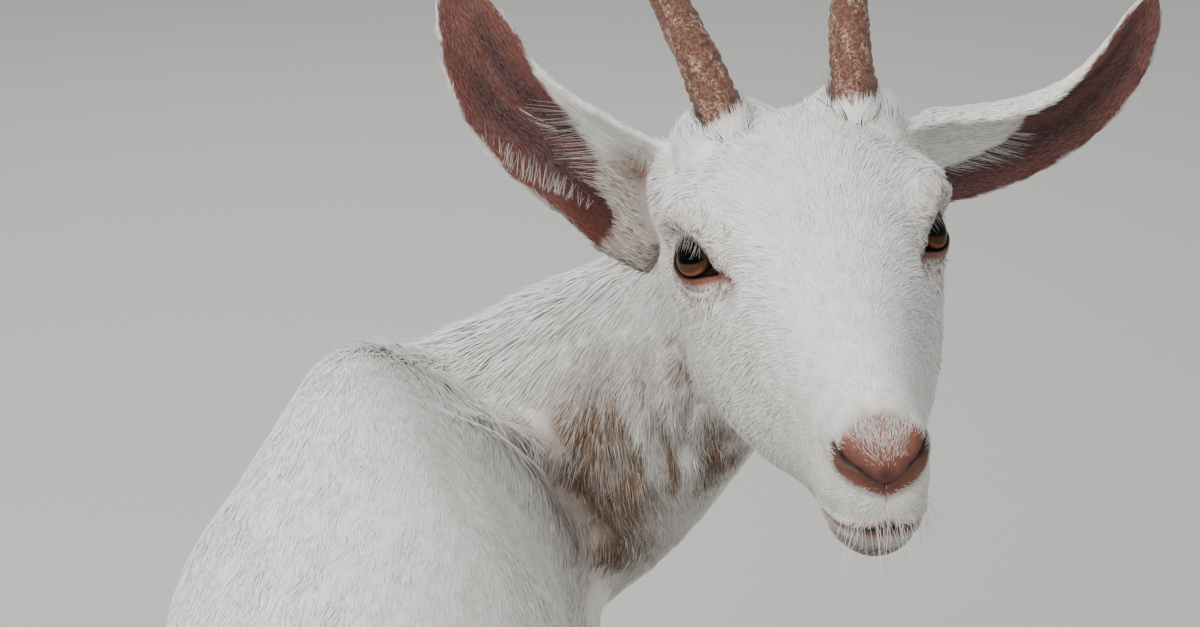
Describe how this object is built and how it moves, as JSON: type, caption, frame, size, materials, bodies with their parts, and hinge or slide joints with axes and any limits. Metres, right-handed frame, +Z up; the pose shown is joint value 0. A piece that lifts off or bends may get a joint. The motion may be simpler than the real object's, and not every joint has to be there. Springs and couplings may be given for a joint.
{
  "type": "goat",
  "caption": "Young white goat with slender swept-back horns, standing square and looking back over its right shoulder, as a still life-size model.",
  "frame": {"origin": "middle of the underside of the whole animal's box, on the ground its hooves stand on", "axes": "+Z up; -Y is the way the chest faces and +Y runs to the rump; +X is the animal's left. The head is turned back over the right shoulder and looks along +Y"},
  "size_m": [0.3964, 0.6554, 0.7519],
  "materials": {
    "coat": "short white goat hair lying flat over pinkish skin",
    "eye": "wet amber-brown eye with a dark, level slit pupil",
    "horn": "dry reddish-brown keratin with grey-tan flakes and faint rings",
    "hoof": "matt grey-brown keratin with growth rings"
  },
  "bodies": {
    "root": {"head": "coat", "neck": "coat", "trunk": "coat", "tail": "coat", "foreleg_left": "coat", "foreleg_right": "coat", "hindleg_left": "coat", "hindleg_right": "coat", "ear_left": "coat", "ear_right": "coat", "eye_left": "eye", "eye_right": "eye", "horn_left": "horn", "horn_right": "horn", "claw_foreleg_left_outer": "hoof", "claw_foreleg_left_inner": "hoof", "claw_foreleg_right_outer": "hoof", "claw_foreleg_right_inner": "hoof", "claw_hindleg_left_outer": "hoof", "claw_hindleg_left_inner": "hoof", "claw_hindleg_right_outer": "hoof", "claw_hindleg_right_inner": "hoof", "dewclaw_foreleg_left_outer": "hoof", "dewclaw_foreleg_left_inner": "hoof", "dewclaw_foreleg_right_outer": "hoof", "dewclaw_foreleg_right_inner": "hoof", "dewclaw_hindleg_left_outer": "hoof", "dewclaw_hindleg_left_inner": "hoof", "dewclaw_hindleg_right_outer": "hoof", "dewclaw_hindleg_right_inner": "hoof"}
  },
  "joints": []
}
